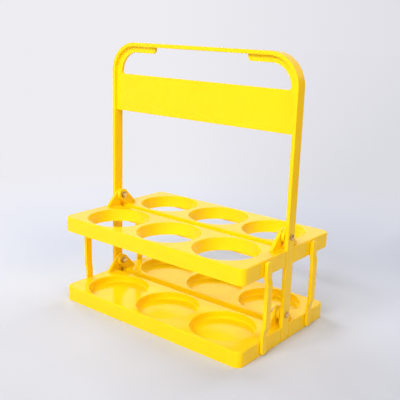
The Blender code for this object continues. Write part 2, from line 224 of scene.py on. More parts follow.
# Colour and deep colour of each zinc plate
BOLT_TANS = ((0.97, 0.60, 0.22, 1.0), (0.88, 0.50, 0.17, 1.0))
# Real zinc colours with painted light and shade: the nut is paler to stand for the bright middle, and the
# washer darker to stand for the shaded ring round it
NUT_GOLDS = ((0.95, 0.80, 0.52, 1.0), (0.84, 0.66, 0.36, 1.0))
WASHER_GOLDS = ((0.86, 0.66, 0.26, 1.0), (0.70, 0.50, 0.18, 1.0))
RUBBED_ZINC = (0.88, 0.76, 0.58, 1.0)
# Dark brown of the painted shade round the rims of bolt heads, nuts and washers
RIM_SHADE_BROWN = (0.34, 0.21, 0.05, 1.0)
DUST_GREY = (0.86, 0.84, 0.80, 1.0)
GLOSS_TINT = (1.0, 0.92, 0.35, 1.0)
UNSET_COLOUR = (0.8, 0.8, 0.8, 1.0)
FLOW_GLOSS = 0.04
FINE_GRAIN_SHARE = 0.35
# From no effect to the full one: sharpness of an edge, and upward part of a face's normal
RUBBED_BEND = (0.505, 0.58)
DUSTY_SLOPE = (0.75, 1.0)

# Rows of nodes in the editor
NODE_STEP = (220, 320)
NODES_PER_ROW = 8


# Shape helpers

def arc(centre, radius, start, end, steps):
    """Points on an arc, in degrees, both ends included."""
    points = []
    for step in range(steps + 1):
        angle = math.radians(start + (end - start) * step / steps)
        points.append((centre[0] + radius * math.cos(angle), centre[1] + radius * math.sin(angle)))
    return points


def polygon(radius, corners):
    """Corners of a regular polygon about the middle, from its right on."""
    return arc((0, 0), radius, 0, 360 * (corners - 1) / corners, corners - 1)


def rectangle(left, right, low, high):
    """Corners of a rectangle."""
    return [(left, low), (right, low), (right, high), (left, high)]


def drawn_in(outline, distance):
    """A closed outline with each side moved in by a distance."""
    count = len(outline)
    sweep = 0.0
    for index in range(count):
        here, after = outline[index], outline[(index + 1) % count]
        sweep += here[0] * after[1] - after[0] * here[1]
    turn = 1 if sweep > 0 else -1
    moved = []
    for index in range(count):
        before, here, after = (Vector(outline[(index + shift) % count]) for shift in (-1, 0, 1))
        first, second = (here - before).normalized(), (after - here).normalized()
        first_in = Vector((-first.y, first.x)) * turn
        second_in = Vector((-second.y, second.x)) * turn
        miter = (first_in + second_in) / (1 + first_in.dot(second_in))
        moved.append(tuple(here + miter * distance))
    return moved


def set_place(point, along, axis):
    """A point of an outline, set along an axis: the outline holds (y, z), (x, z) or (x, y)."""
    if axis == "X":
        return (along, point[0], point[1])
    if axis == "Y":
        return (point[0], along, point[1])
    return (point[0], point[1], along)


def skin(shape, hoops, closed=False):
    """Join a row of loops with the same number of corners, and close its ends or join them."""
    count = len(hoops[0])
    if closed:
        hoops = hoops + hoops[:1]
    else:
        shape.faces.new(hoops[0])
        shape.faces.new(hoops[-1])
    for first, second in zip(hoops, hoops[1:]):
        for index in range(count):
            after = (index + 1) % count
            shape.faces.new((first[index], first[after], second[after], second[index]))


def add_prism(shape, outline, low, high, axis, rounding=0.0):
    """Extrude an outline along an axis, with both rims rounded where a rounding is given."""
    levels = [(0.0, low), (0.0, high)]
    if rounding:
        rim = arc((rounding, rounding), rounding, 270, 180, SMALL_STEPS)
        levels = [(inset, low + rise) for inset, rise in rim]
        levels += [(inset, high - rise) for inset, rise in reversed(rim)]
    hoops = []
    for inset, along in levels:
        points = drawn_in(outline, inset) if inset else outline
        hoops.append([shape.verts.new(set_place(point, along, axis)) for point in points])
    skin(shape, hoops)


def add_turned(shape, profile, centre, axis, facets, closed=False):
    """Turn a profile of (along, radius) points about an axis through a centre."""
    turns = [2 * math.pi * (index + 0.5) / facets for index in range(facets)]
    hoops = []
    for along, radius in profile:
        hoop = []
        for angle in turns:
            across = (radius * math.cos(angle), radius * math.sin(angle))
            hoop.append(shape.verts.new(Vector(centre) + Vector(set_place(across, along, axis))))
        hoops.append(hoop)
    skin(shape, hoops, closed)


def mesh_of(shape, name):
    """A mesh from a finished shape, with its faces out."""
    bmesh.ops.recalc_face_normals(shape, faces=shape.faces[:])
    mesh = bpy.data.meshes.new(name)
    shape.to_mesh(mesh)
    shape.free()
    return mesh


def prism_mesh(name, outline, low, high, axis, rounding=0.0):
    """A prism as a mesh of its own."""
    shape = bmesh.new()
    add_prism(shape, outline, low, high, axis, rounding)
    return mesh_of(shape, name)


def combined(mesh, helper, operation):
    """A mesh joined with a helper mesh, cut by it, or kept only where both are."""
    pair = [bpy.data.objects.new("base", mesh), bpy.data.objects.new("helper", helper)]
    for part in pair:
        bpy.context.scene.collection.objects.link(part)
    modifier = pair[0].modifiers.new("combine", "BOOLEAN")
    modifier.operation = operation
    modifier.object = pair[1]
    modifier.solver = "EXACT"
    bpy.context.view_layer.update()
    ready = pair[0].evaluated_get(bpy.context.evaluated_depsgraph_get())
    result = bpy.data.meshes.new_from_object(ready)
    for part in pair:
        bpy.data.objects.remove(part, do_unlink=True)
    return result


def piece(name, mesh, body, stands_for, material):
    """Set a finished mesh in the scene as a piece that rides on a body."""
    mesh.name = name
    mesh.materials.clear()
    mesh.materials.append(material)
    mesh.shade_smooth()
    mesh.set_sharp_from_angle(angle=math.radians(SMOOTH_ANGLE))
    made = bpy.data.objects.new(name, mesh)
    bpy.context.scene.collection.objects.link(made)
    even = made.modifiers.new("even shading", "WEIGHTED_NORMAL")
    even.keep_sharp = True
    even.weight = 100
    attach(made, body)
    if stands_for:
        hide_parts(stands_for)


# Tray halves, built as the front one and turned half round for the rear

def half_outline(inset):
    """Plan of the front tray half, drawn in by an inset: rounded outer corners and a notch for each leg."""
    end, inner, outer = END_FACE - inset, INNER_EDGE + inset, OUTER_EDGE - inset
    notch_edge, notch_face = NOTCH_EDGE + inset, NOTCH_FACE - inset
    round_corner = TRAY_CORNER - inset
    corner, root = max(NOTCH_CORNER - inset, TOUCH_GAP), NOTCH_ROOT + inset
    points = arc((end - round_corner, outer - round_corner), round_corner, 0, 90, CORNER_STEPS)
    points += arc((round_corner - end, outer - round_corner), round_corner, 90, 180, CORNER_STEPS)
    left = arc((corner - end, notch_edge + corner), corner, 180, 270, FILLET_STEPS)
    left += arc((-notch_face - root, notch_edge - root), root, 90, 0, SMALL_STEPS)
    left += arc((corner - notch_face, inner + corner), corner, 180, 270, FILLET_STEPS)
    points += left
    points += [(-x, y) for x, y in reversed(left)]
    return [(x, FRONT * y) for x, y in points]


def half_block(level):
    """The solid block of a tray half, with its rim and foot rounded."""
    low = LEVEL_BASE[level]
    high = low + TRAY_HEIGHT
    small, large = SKIRT_FOOT_ROUNDING, TRAY_RIM_ROUNDING
    foot = arc((small, low + small), small, 270, 180, SMALL_STEPS)
    rim = arc((large, high - large), large, 180, 90, FILLET_STEPS)
    shape = bmesh.new()
    hoops = []
    for inset, height in foot + rim:
        hoops.append([shape.verts.new((x, y, height)) for x, y in half_outline(inset)])
    skin(shape, hoops)
    return mesh_of(shape, "half")


def half_pocket(level):
    """The hollow under a tray half."""
    low = LEVEL_BASE[level]
    outline = half_outline(SKIRT_WALL)
    return prism_mesh("pocket", outline, low - CUT_OVERRUN, low + TRAY_HEIGHT - PLATE_THICKNESS, "Z")


def cup_centres(level):
    """Centres of the cups of the front half, at the top of its plate."""
    top = LEVEL_BASE[level] + TRAY_HEIGHT
    middle = 0.5 * (CUPS_PER_HALF - 1)
    return [((index - middle) * CUP_PITCH, FRONT * CUP_ROW, top) for index in range(CUPS_PER_HALF)]


def half_sleeves(level):
    """Walls round the cups: tubes in an upper half, dishes with a floor in a lower one."""
    outer = CUP_RADIUS + SLEEVE_WALL
    foot = -WELL_DEPTH - PLATE_THICKNESS if level == "lower" else -CUP_DEPTH
    rounding = SLEEVE_FOOT_ROUNDING
    profile = [(along, radius) for radius, along in
               arc((outer - rounding, foot + rounding), rounding, 270, 360, SMALL_STEPS)]
    profile.append((-0.5 * PLATE_THICKNESS, outer))
    shape = bmesh.new()
    for centre in cup_centres(level):
        add_turned(shape, profile, centre, "Z", CUP_FACETS)
    return mesh_of(shape, "sleeves")


def half_ribs(level):
    """Thin ribs under the plate: across between the cups, and along from the end cups to the end skirts."""
    low = LEVEL_BASE[level] + RIB_LIFT
    high = LEVEL_BASE[level] + TRAY_HEIGHT - 0.5 * PLATE_THICKNESS
    half = 0.5 * RIB_THICKNESS
    shape = bmesh.new()
    for index in range(CUPS_PER_HALF - 1):
        middle = (index + 1 - 0.5 * CUPS_PER_HALF) * CUP_PITCH
        near, far = INNER_EDGE + 0.5 * SKIRT_WALL, OUTER_EDGE - 0.5 * SKIRT_WALL
        add_prism(shape, rectangle(middle - half, middle + half, FRONT * near, FRONT * far), low, high, "Z")
    start = 0.5 * (CUPS_PER_HALF - 1) * CUP_PITCH + CUP_RADIUS
    stop = END_FACE - 0.5 * SKIRT_WALL
    for end in ENDS.values():
        for offset in (-RIB_OFFSET, RIB_OFFSET):
            row = FRONT * CUP_ROW + offset
            add_prism(shape, rectangle(end * start, end * stop, row - half, row + half), low, high, "Z")
    return mesh_of(shape, "ribs")


def cup_bores(level):
    """The open space of the cups, rounded at the rim, and at the floor or the sleeve's foot."""
    rounding = CUP_RIM_ROUNDING
    if level == "lower":
        corner = WELL_CORNER
        lower = arc((CUP_RADIUS - corner, corner - WELL_DEPTH), corner, 270, 360, FILLET_STEPS)
    else:
        foot = SLEEVE_FOOT_ROUNDING
        lower = [(CUP_RADIUS + foot, -CUP_DEPTH - CUT_OVERRUN)]
        lower += arc((CUP_RADIUS + foot, foot - CUP_DEPTH), foot, 270, 180, SMALL_STEPS)
    upper = arc((CUP_RADIUS + rounding, -rounding), rounding, 180, 90, FILLET_STEPS)
    upper.append((CUP_RADIUS + rounding, CUT_OVERRUN))
    profile = [(along, radius) for radius, along in lower + upper]
    shape = bmesh.new()
    for centre in cup_centres(level):
        add_turned(shape, profile, centre, "Z", CUP_FACETS)
    return mesh_of(shape, "bores")


def ear_outline(level):
    """Side view of a hinge ear: a sloped plate with a round end about the bolt, rooted in the tray."""
    foot = -PIN_ABOVE_TRAY
    toe = (INNER_EDGE + EAR_FOOT, foot + EAR_TOE)
    heel = (INNER_EDGE + EAR_HEEL_INSET, foot - TRAY_RIM_ROUNDING)
    toe_turn = math.atan2(toe[1], toe[0]) + math.acos(EAR_RADIUS / math.hypot(*toe))
    heel_turn = math.atan2(heel[1], heel[0]) - math.acos(EAR_RADIUS / math.hypot(*heel))
    points = [(toe[0], foot - EAR_ROOT), toe]
    points += arc((0, 0), EAR_RADIUS, math.degrees(toe_turn), math.degrees(heel_turn) + 360, 2 * CORNER_STEPS)
    points += [heel, (heel[0], foot - EAR_ROOT)]
    return [(FRONT * across, PIN_HEIGHT[level] + up) for across, up in points]


def half_ears(level):
    """Both ears of the front half: the left one beside its leg, the right one a plate further in."""
    shape = bmesh.new()
    left_outer = -EAR_OUTER
    right_outer = EAR_OUTER - EAR_THICKNESS - HINGE_PLAY
    outline = ear_outline(level)
    add_prism(shape, outline, left_outer, left_outer + EAR_THICKNESS, "X", EAR_ROUNDING)
    add_prism(shape, outline, right_outer - EAR_THICKNESS, right_outer, "X", EAR_ROUNDING)
    return mesh_of(shape, "ears")


def bolt_bores(level):
    """Holes for the two hinge bolts of a level."""
    start = EAR_OUTER - 2 * EAR_THICKNESS - HINGE_PLAY - CUT_OVERRUN
    stop = END_FACE + CUT_OVERRUN
    radius = BOLT_RADIUS + BORE_CLEARANCE
    shape = bmesh.new()
    for end in ENDS.values():
        hole = [(end * start, radius), (end * stop, radius)]
        add_turned(shape, hole, (0, 0, PIN_HEIGHT[level]), "X", BORE_FACETS)
    return mesh_of(shape, "bolt bores")


def peg_bores(level):
    """Holes in the end skirts of the front half for the pegs of the links, chamfered outside."""
    radius = PEG_RADIUS + BORE_CLEARANCE
    profile = [(SKIRT_INNER - CUT_OVERRUN, radius), (END_FACE - HOLE_CHAMFER, radius),
               (END_FACE, radius + HOLE_CHAMFER), (END_FACE + CUT_OVERRUN, radius + HOLE_CHAMFER)]
    shape = bmesh.new()
    for end in ENDS.values():
        turned = [(end * along, size) for along, size in profile]
        add_turned(shape, turned, (0, FRONT * CUP_ROW, PEG_HEIGHT[level]), "X", BORE_FACETS)
    return mesh_of(shape, "peg bores")


def ejector_marks(level):
    """Shallow round prints of the mould's ejector pins, under the plate beside the skirts."""
    ceiling = LEVEL_BASE[level] + TRAY_HEIGHT - PLATE_THICKNESS
    inset = SKIRT_WALL + 2 * EJECTOR_RADIUS
    profile = [(-CUT_OVERRUN, EJECTOR_RADIUS), (EJECTOR_DEPTH, EJECTOR_RADIUS)]
    shape = bmesh.new()
    for end in ENDS.values():
        for row in (INNER_EDGE + inset + EAR_FOOT, OUTER_EDGE - inset):
            centre = (end * (END_FACE - inset), FRONT * row, ceiling)
            add_turned(shape, profile, centre, "Z", BORE_FACETS)
    return mesh_of(shape, "marks")


def gate_nubs(level):
    """The small nubs left under the middle of a lower half's well floors, set in shallow dishes."""
    shape = bmesh.new()
    dish = [(-CUT_OVERRUN, 3 * GATE_RADIUS), (GATE_HEIGHT, 3 * GATE_RADIUS), (GATE_HEIGHT, GATE_RADIUS),
            (0, 0.5 * GATE_RADIUS), (-CUT_OVERRUN, 0.5 * GATE_RADIUS)]
    for x, y, top in cup_centres(level):
        add_turned(shape, dish, (x, y, top - WELL_DEPTH - PLATE_THICKNESS), "Z", BORE_FACETS, closed=True)
    return mesh_of(shape, "gates")


def make_half(level):
    """Mesh of the front tray half of a level."""
    half = combined(half_block(level), half_pocket(level), "DIFFERENCE")
    for added in (half_ribs, half_sleeves, half_ears):
        half = combined(half, added(level), "UNION")
    for cut in (cup_bores, bolt_bores, peg_bores, ejector_marks):
        half = combined(half, cut(level), "DIFFERENCE")
    if level == "lower":
        half = combined(half, gate_nubs(level), "DIFFERENCE")
    return half


# Handle frame

def band_outline():
    """Front view of the flat band, up one leg, over the grip and down the other leg."""
    inner = HANDLE_CORNER - BAND_THICKNESS
    x, z = END_FACE - HANDLE_CORNER, HANDLE_TOP - HANDLE_CORNER
    points = [(END_FACE, 0)]
    points += arc((x, z), HANDLE_CORNER, 0, 90, CORNER_STEPS)
    points += arc((-x, z), HANDLE_CORNER, 90, 180, CORNER_STEPS)
    points += [(-END_FACE, 0), (-LEG_INNER, 0)]
    points += arc((-x, z), inner, 180, 90, CORNER_STEPS)
    points += arc((x, z), inner, 90, 0, CORNER_STEPS)
    points.append((LEG_INNER, 0))
    return points


def web_outline():
    """Front view of the panel and of the web that runs up from it round both corners."""
    sunk = 0.5 * BAND_THICKNESS
    x, z = END_FACE - HANDLE_CORNER, HANDLE_TOP - HANDLE_CORNER
    panel_top = HANDLE_TOP - PANEL_DROP
    inner = HANDLE_CORNER - BAND_THICKNESS - WEB_WIDTH
    lower_edge = z + inner
    points = [(END_FACE - sunk, panel_top - PANEL_HEIGHT)]
    points += arc((x, z), HANDLE_CORNER - sunk, 0, 90, CORNER_STEPS)
    points.append((WEB_END, HANDLE_TOP - sunk))
    corner = WEB_END_CORNER
    points += arc((WEB_END + corner, lower_edge + corner), corner, 180, 270, 2 * FILLET_STEPS)
    spring = panel_top + PANEL_FILLET
    meet = math.asin(max(0.0, spring - z) / inner)
    curve = arc((x, z), inner, 90, math.degrees(meet), CORNER_STEPS)
    fillet = arc((x + inner * math.cos(meet) - PANEL_FILLET, spring), PANEL_FILLET, 0, -90, FILLET_STEPS)
    points += curve + (fillet if z > spring else fillet[1:])
    return points + [(-x, z) for x, z in reversed(points)]


def web_roots():
    """Hollow fillets between web and band, on both faces, from the panel's foot to the ends of the web."""
    inner = HANDLE_CORNER - BAND_THICKNESS
    x, z = END_FACE - HANDLE_CORNER, HANDLE_TOP - HANDLE_CORNER
    foot = HANDLE_TOP - PANEL_DROP - PANEL_HEIGHT + WEB_ROUNDING
    run = [((LEG_INNER, foot), (-1, 0)), ((LEG_INNER, 0.5 * (foot + z)), (-1, 0))]
    for px, pz in arc((x, z), inner, 0, 90, CORNER_STEPS):
        run.append(((px, pz), ((x - px) / inner, (z - pz) / inner)))
    run.append(((WEB_END + WEB_END_CORNER, z + inner), (0, -1)))
    face, sunk = 0.5 * WEB_THICKNESS, WEB_ROUNDING
    hollow = arc((0, 0), WEB_ROOT, 0, 90, 2 * FILLET_STEPS)
    section = [(WEB_ROOT - across, face + WEB_ROOT - up) for across, up in hollow]
    section = [(-sunk, section[0][1])] + section + [(section[-1][0], face - sunk), (-sunk, face - sunk)]
    shape = bmesh.new()
    for side in SIDES.values():
        for end in ENDS.values():
            hoops = []
            for (px, pz), (way_x, way_z) in run:
                places = [(end * (px + way_x * out), side * y, pz + way_z * out) for out, y in section]
                hoops.append([shape.verts.new(place) for place in places])
            skin(shape, hoops)
    return mesh_of(shape, "roots")


def make_handle():
    """Mesh of the handle frame."""
    half = 0.5 * WEB_THICKNESS
    band = prism_mesh("band", band_outline(), -HALF_BAND, HALF_BAND, "Y", BAND_ROUNDING)
    web = prism_mesh("web", web_outline(), -half, half, "Y", WEB_ROUNDING)
    handle = combined(band, web, "UNION")
    handle = combined(handle, web_roots(), "UNION")
    for level in LEVELS:
        handle = combined(handle, bolt_bores(level), "DIFFERENCE")
    return handle


# Links

def ease(share):
    """A share from 0 to 1, eased in and out."""
    return share * share * (3 - 2 * share)


def link_faces(height):
    """Inner and outer face of a link at a height, along X from the middle of the carrier."""
    foot = ease(min(max((height - LINK_FOOT_TOP) / LINK_JOGGLE, 0), 1))
    head = ease(min(max((LINK_HEAD_FOOT - height) / LINK_JOGGLE, 0), 1))
    inner = END_FACE + TOUCH_GAP + LINK_STAND_OFF * min(foot, head)
    return inner, inner + LINK_FOOT_THICKNESS + (LINK_THICKNESS - LINK_FOOT_THICKNESS) * foot


def link_heights(low, high):
    """Heights of a link's stations: close together at its round ends and its joggles."""
    radius, steps = LINK_END_RADIUS, 2 * FILLET_STEPS
    rise = [radius * (1 - math.cos(math.radians(90 * step / steps))) for step in range(steps + 1)]
    shares = [step / JOGGLE_STEPS for step in range(JOGGLE_STEPS + 1)]
    heights = [low + up for up in rise]
    heights += [LINK_FOOT_TOP + LINK_JOGGLE * share for share in shares]
    heights += [LINK_HEAD_FOOT - LINK_JOGGLE * (1 - share) for share in shares]
    heights += [high - up for up in reversed(rise)]
    return heights


def link_section(inner, outer, half):
    """Level section through a link, with rounded corners."""
    rounding = LINK_ROUNDING
    points = []
    for x, y, start in ((inner + rounding, rounding - half, 180), (outer - rounding, rounding - half, 270),
                        (outer - rounding, half - rounding, 0), (inner + rounding, half - rounding, 90)):
        points += arc((x, y), rounding, start, start + 90, SMALL_STEPS)
    return points


def make_link(side, end):
    """Mesh of one side link: a flat joggled bar with round ends, and a split peg near each end."""
    low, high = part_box(f"{side}_{end}_link")
    middle, full = 0.5 * (low.y + high.y), 0.5 * (high.y - low.y)
    sign = ENDS[end]
    shape = bmesh.new()
    hoops = []
    for height in link_heights(low.z, high.z):
        inner, outer = link_faces(height)
        from_end = min(height - low.z, high.z - height, LINK_END_RADIUS)
        half = full - LINK_END_RADIUS + math.sqrt(LINK_END_RADIUS ** 2 - (LINK_END_RADIUS - from_end) ** 2)
        half = max(half, full - LINK_END_RADIUS + LINK_ROUNDING)
        inset = max(LINK_ROUNDING - from_end, 0)
        inset = LINK_ROUNDING - math.sqrt(LINK_ROUNDING ** 2 - inset ** 2)
        section = link_section(inner + inset, outer - inset, half)
        hoops.append([shape.verts.new((sign * x, middle + y, height)) for x, y in section])
    skin(shape, hoops)
    bar = mesh_of(shape, "link")

    pegs, slots = bmesh.new(), bmesh.new()
    barb = SKIRT_INNER - TOUCH_GAP
    tip = barb - PEG_BARB_LENGTH
    profile = [(END_FACE + TOUCH_GAP + PEG_ROOT, PEG_RADIUS), (barb + HOLE_CHAMFER, PEG_RADIUS),
               (barb, PEG_BARB - 0.5 * HOLE_CHAMFER), (barb - HOLE_CHAMFER, PEG_BARB),
               (tip + HOLE_CHAMFER, PEG_TIP), (tip, PEG_TIP - HOLE_CHAMFER)]
    turned = [(sign * along, radius) for along, radius in profile]
    half, reach = 0.5 * PEG_SLOT, PEG_BARB + CUT_OVERRUN
    for height in PEG_HEIGHT.values():
        add_turned(pegs, turned, (0, middle, height), "X", BORE_FACETS)
        slot = rectangle(middle - half, middle + half, height - reach, height + reach)
        add_prism(slots, slot, sign * (tip - CUT_OVERRUN), sign * (tip + PEG_SLOT_DEPTH), "X")
    link = combined(bar, mesh_of(pegs, "pegs"), "UNION")
    return combined(link, mesh_of(slots, "slots"), "DIFFERENCE")


# Bolts, washers and nuts

def near_and_far(low, high):
    """Nearer and farther end of a box, along X from the middle of the carrier."""
    return min(abs(low.x), abs(high.x)), max(abs(low.x), abs(high.x))


def turned_mesh(name, profile, level, end, closed=False):
    """A profile turned about the bolt of a hinge, as a mesh of its own."""
    shape = bmesh.new()
    turned = [(ENDS[end] * along, radius) for along, radius in profile]
    add_turned(shape, turned, (0, 0, PIN_HEIGHT[level]), "X", HEAD_FACETS, closed)
    return mesh_of(shape, name)


def make_bolt(level, end):
    """Mesh of a hinge bolt: a low round head, a shank and a threaded tail."""
    tail, crown = near_and_far(*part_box(f"{level}_{end}_hinge_bolt"))
    seat = crown - BOLT_HEAD_HEIGHT
    root = BOLT_RADIUS - BOLT_THREAD_DEPTH
    profile = [(tail, root - BOLT_THREAD_DEPTH), (tail + BOLT_THREAD_DEPTH, root)]
    crest_start, crest_stop = (share * BOLT_THREAD_PITCH for share in THREAD_CREST_SHARES)
    for turn in range(int(BOLT_THREAD_LENGTH / BOLT_THREAD_PITCH)):
        start = tail + BOLT_THREAD_DEPTH + turn * BOLT_THREAD_PITCH
        profile += [(start + crest_start, BOLT_RADIUS), (start + crest_stop, BOLT_RADIUS),
                    (start + BOLT_THREAD_PITCH, root)]
    last = profile[-1][0]
    profile += [(last + BOLT_THREAD_DEPTH, BOLT_RADIUS), (seat, BOLT_RADIUS),
                (seat, BOLT_HEAD_RADIUS - WASHER_ROUNDING), (seat + WASHER_ROUNDING, BOLT_HEAD_RADIUS)]
    dome, steps = BOLT_HEAD_HEIGHT - BOLT_HEAD_RIM, 2 * FILLET_STEPS
    for step in range(steps):
        angle = math.radians(90 * step / steps)
        profile.append((seat + BOLT_HEAD_RIM + dome * math.sin(angle), BOLT_HEAD_RADIUS * math.cos(angle)))
    return turned_mesh("bolt", profile, level, end)


def make_washer(level, end):
    """Mesh of a washer with softened rims."""
    near, far = near_and_far(*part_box(f"{level}_{end}_hinge_washer"))
    bore = BOLT_RADIUS + BORE_CLEARANCE
    soft = WASHER_ROUNDING
    profile = [(near, bore + soft), (near + soft, bore), (far - soft, bore), (far, bore + soft),
               (far, WASHER_RADIUS - soft), (far - soft, WASHER_RADIUS), (near + soft, WASHER_RADIUS),
               (near, WASHER_RADIUS - soft)]
    return turned_mesh("washer", profile, level, end, closed=True)


def nut_faces(level, end):
    """Inner and outer face of a lock nut, along X from the middle of the carrier."""
    return near_and_far(*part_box(f"{level}_{end}_lock_nut"))


def make_nut(level, end):
    """Mesh of a lock nut: a hexagon with its corners turned off, and a round collar for the nylon."""
    near, far = nut_faces(level, end)
    shoulder = near + NUT_COLLAR_HEIGHT
    corner = 0.5 * NUT_ACROSS_FLATS / math.cos(math.pi / NUT_SIDES)
    outline = [(y, PIN_HEIGHT[level] + z) for y, z in polygon(corner, NUT_SIDES)]
    nut = prism_mesh("nut", outline, ENDS[end] * shoulder, ENDS[end] * far, "X")
    bevel, wide = corner - NUT_CHAMFER, corner + NUT_CHAMFER
    barrel = [(shoulder - CUT_OVERRUN, bevel - CUT_OVERRUN), (shoulder + NUT_CHAMFER, wide),
              (far - NUT_CHAMFER, wide), (far, bevel)]
    nut = combined(nut, turned_mesh("barrel", barrel, level, end), "INTERSECT")
    soft = WASHER_ROUNDING
    collar = [(shoulder + NUT_COLLAR_HEIGHT, NUT_COLLAR_RADIUS), (near + soft, NUT_COLLAR_RADIUS),
              (near, NUT_COLLAR_RADIUS - soft)]
    nut = combined(nut, turned_mesh("collar", collar, level, end), "UNION")
    bore = BOLT_RADIUS + BORE_CLEARANCE
    hole = [(near - CUT_OVERRUN, NYLON_RADIUS), (shoulder, NYLON_RADIUS), (shoulder, bore),
            (far + CUT_OVERRUN, bore)]
    return combined(nut, turned_mesh("hole", hole, level, end), "DIFFERENCE")


def make_nylon(level, end):
    """Mesh of the nylon ring in a lock nut's collar."""
    soft = 0.5 * WASHER_ROUNDING
    near = nut_faces(level, end)[0] + soft
    far = near + NUT_COLLAR_HEIGHT - 2 * soft
    inner, outer = BOLT_RADIUS + 0.5 * soft, NYLON_RADIUS - 0.5 * soft
    profile = [(near + soft, inner), (far, inner), (far, outer), (near + soft, outer), (near, outer - soft),
               (near, inner + soft)]
    return turned_mesh("nylon", profile, level, end, closed=True)


# Node helpers

def feed(tree, socket, value):
    """Give a socket a plain value, or the output of another node."""
    if isinstance(value, bpy.types.NodeSocket):
        tree.links.new(value, socket)
    else:
        socket.default_value = value


def feed_all(tree, node, **inputs):
    """Feed a node's inputs by name: underscores stand for spaces."""
    for name, value in inputs.items():
        feed(tree, node.inputs[name.replace("_", " ")], value)


def add_node(tree, kind, *ordered, **named):
    """A node, fed in order and by name: names in lower case are settings, the others are inputs."""
    row, column = divmod(len(tree.nodes), NODES_PER_ROW)
    node = tree.nodes.new(kind)
    node.location = (column * NODE_STEP[0], -row * NODE_STEP[1])
    for name, value in named.items():
        if name.islower():
            setattr(node, name, value)
    for socket, value in zip(node.inputs, ordered):
        feed(tree, socket, value)
    feed_all(tree, node, **{name: value for name, value in named.items() if not name.islower()})
    return node


def sum_of(tree, operation, *values, **settings):
    """The result of a sum with numbers."""
    return add_node(tree, "ShaderNodeMath", *values, operation=operation, **settings).outputs["Value"]


def vector_sum(tree, operation, *values):
    """The results of a sum with vectors: a Vector and a Value."""
    return add_node(tree, "ShaderNodeVectorMath", *values, operation=operation).outputs


def share_of(tree, value, low, high, **named):
    """How far a value is from a low to a high one, as a share from 0 to 1."""
    spread = add_node(tree, "ShaderNodeMapRange", Value=value, From_Min=low, From_Max=high, **named)
    return spread.outputs["Result"]


def mixed(tree, kind, share, first, second):
    """Two colours, of kind RGBA, or two numbers, of kind FLOAT, mixed by a share."""
    return add_node(tree, "ShaderNodeMix", data_type=kind, Factor=share, A=first, B=second).outputs["Result"]


def cloudy(tree, space, **values):
    """Cloudy noise over a piece, in Object space or in the Generated space of its box."""
    place = add_node(tree, "ShaderNodeTexCoord").outputs[space]
    return add_node(tree, "ShaderNodeTexNoise", Vector=place, **values).outputs["Fac"]


# Shared material effects

def new_group(name, outputs, **inputs):
    """A shader group, and the outputs of its start. Its inputs come by name, with their usual values."""
    group = bpy.data.node_groups.new(name, "ShaderNodeTree")
    for way, labels in (("INPUT", inputs), ("OUTPUT", outputs)):
        for label in labels:
            kind = "NodeSocketColor" if "Colour" in label else "NodeSocketFloat"
            socket = group.interface.new_socket(label.replace("_", " "), in_out=way, socket_type=kind)
            if way == "INPUT":
                socket.default_value = inputs[label]
    return group, add_node(group, "NodeGroupInput").outputs


def patchy(group, given, area, patches):
    """The mask of an effect: its area, broken into patches, times its amount."""
    return sum_of(group, "MULTIPLY", sum_of(group, "MULTIPLY", area, patches), given["Amount"])


def lay_over(group, given, mask, effect):
    """Put out the given colour and roughness, with those of an effect laid over them by a mask."""
    add_node(group, "NodeGroupOutput",
             Colour=mixed(group, "RGBA", mask, given["Colour"], given[f"{effect} Colour"]),
             Roughness=mixed(group, "FLOAT", mask, given["Roughness"], given[f"{effect} Roughness"]))


def flow_group():
    """Faint cloudy flow of colour and gloss that moulded plastic has."""
    group, given = new_group("Moulded flow", ("Colour", "Roughness"), Colour=UNSET_COLOUR,
                             Deep_Colour=UNSET_COLOUR, Amount=0.5, Size=12.0, Roughness=0.4)
    cloud = cloudy(group, "Object", Scale=given["Size"], Detail=3.0, Roughness=0.55, Distortion=0.6)
    share = sum_of(group, "MULTIPLY", share_of(group, cloud, low=0.35, high=0.70), given["Amount"])
    add_node(group, "NodeGroupOutput",
             Colour=mixed(group, "RGBA", share, given["Colour"], given["Deep Colour"]),
             Roughness=sum_of(group, "MULTIPLY_ADD", share, FLOW_GLOSS, given["Roughness"]))
    return group


def grain_group():
    """Fine skin of a spark-eroded mould: small soft pits."""
    group, given = new_group("Mould grain", ("Height",), Size=900.0, Depth=0.5)
    fine = cloudy(group, "Object", Scale=given["Size"], Detail=2.0, Roughness=0.6)
    broad = cloudy(group, "Object", Scale=55.0, Detail=1.0)
    both = sum_of(group, "MULTIPLY_ADD", fine, FINE_GRAIN_SHARE, broad)
    add_node(group, "NodeGroupOutput", Height=sum_of(group, "MULTIPLY", both, given["Depth"]))
    return group


def wear_group():
    """Rubbed edges: convex edges turn paler and smoother in broken patches."""
    group, given = new_group("Rubbed edges", ("Colour", "Roughness"), Colour=UNSET_COLOUR,
                             Rubbed_Colour=UNSET_COLOUR, Roughness=0.4, Rubbed_Roughness=0.3, Amount=0.5)
    bend = add_node(group, "ShaderNodeNewGeometry").outputs["Pointiness"]
    edge = share_of(group, bend, *RUBBED_BEND)
    cloud = cloudy(group, "Object", Scale=70.0, Detail=4.0, Roughness=0.65)
    patches = share_of(group, cloud, low=0.35, high=0.65)
    lay_over(group, given, patchy(group, given, edge, patches), "Rubbed")
    return group


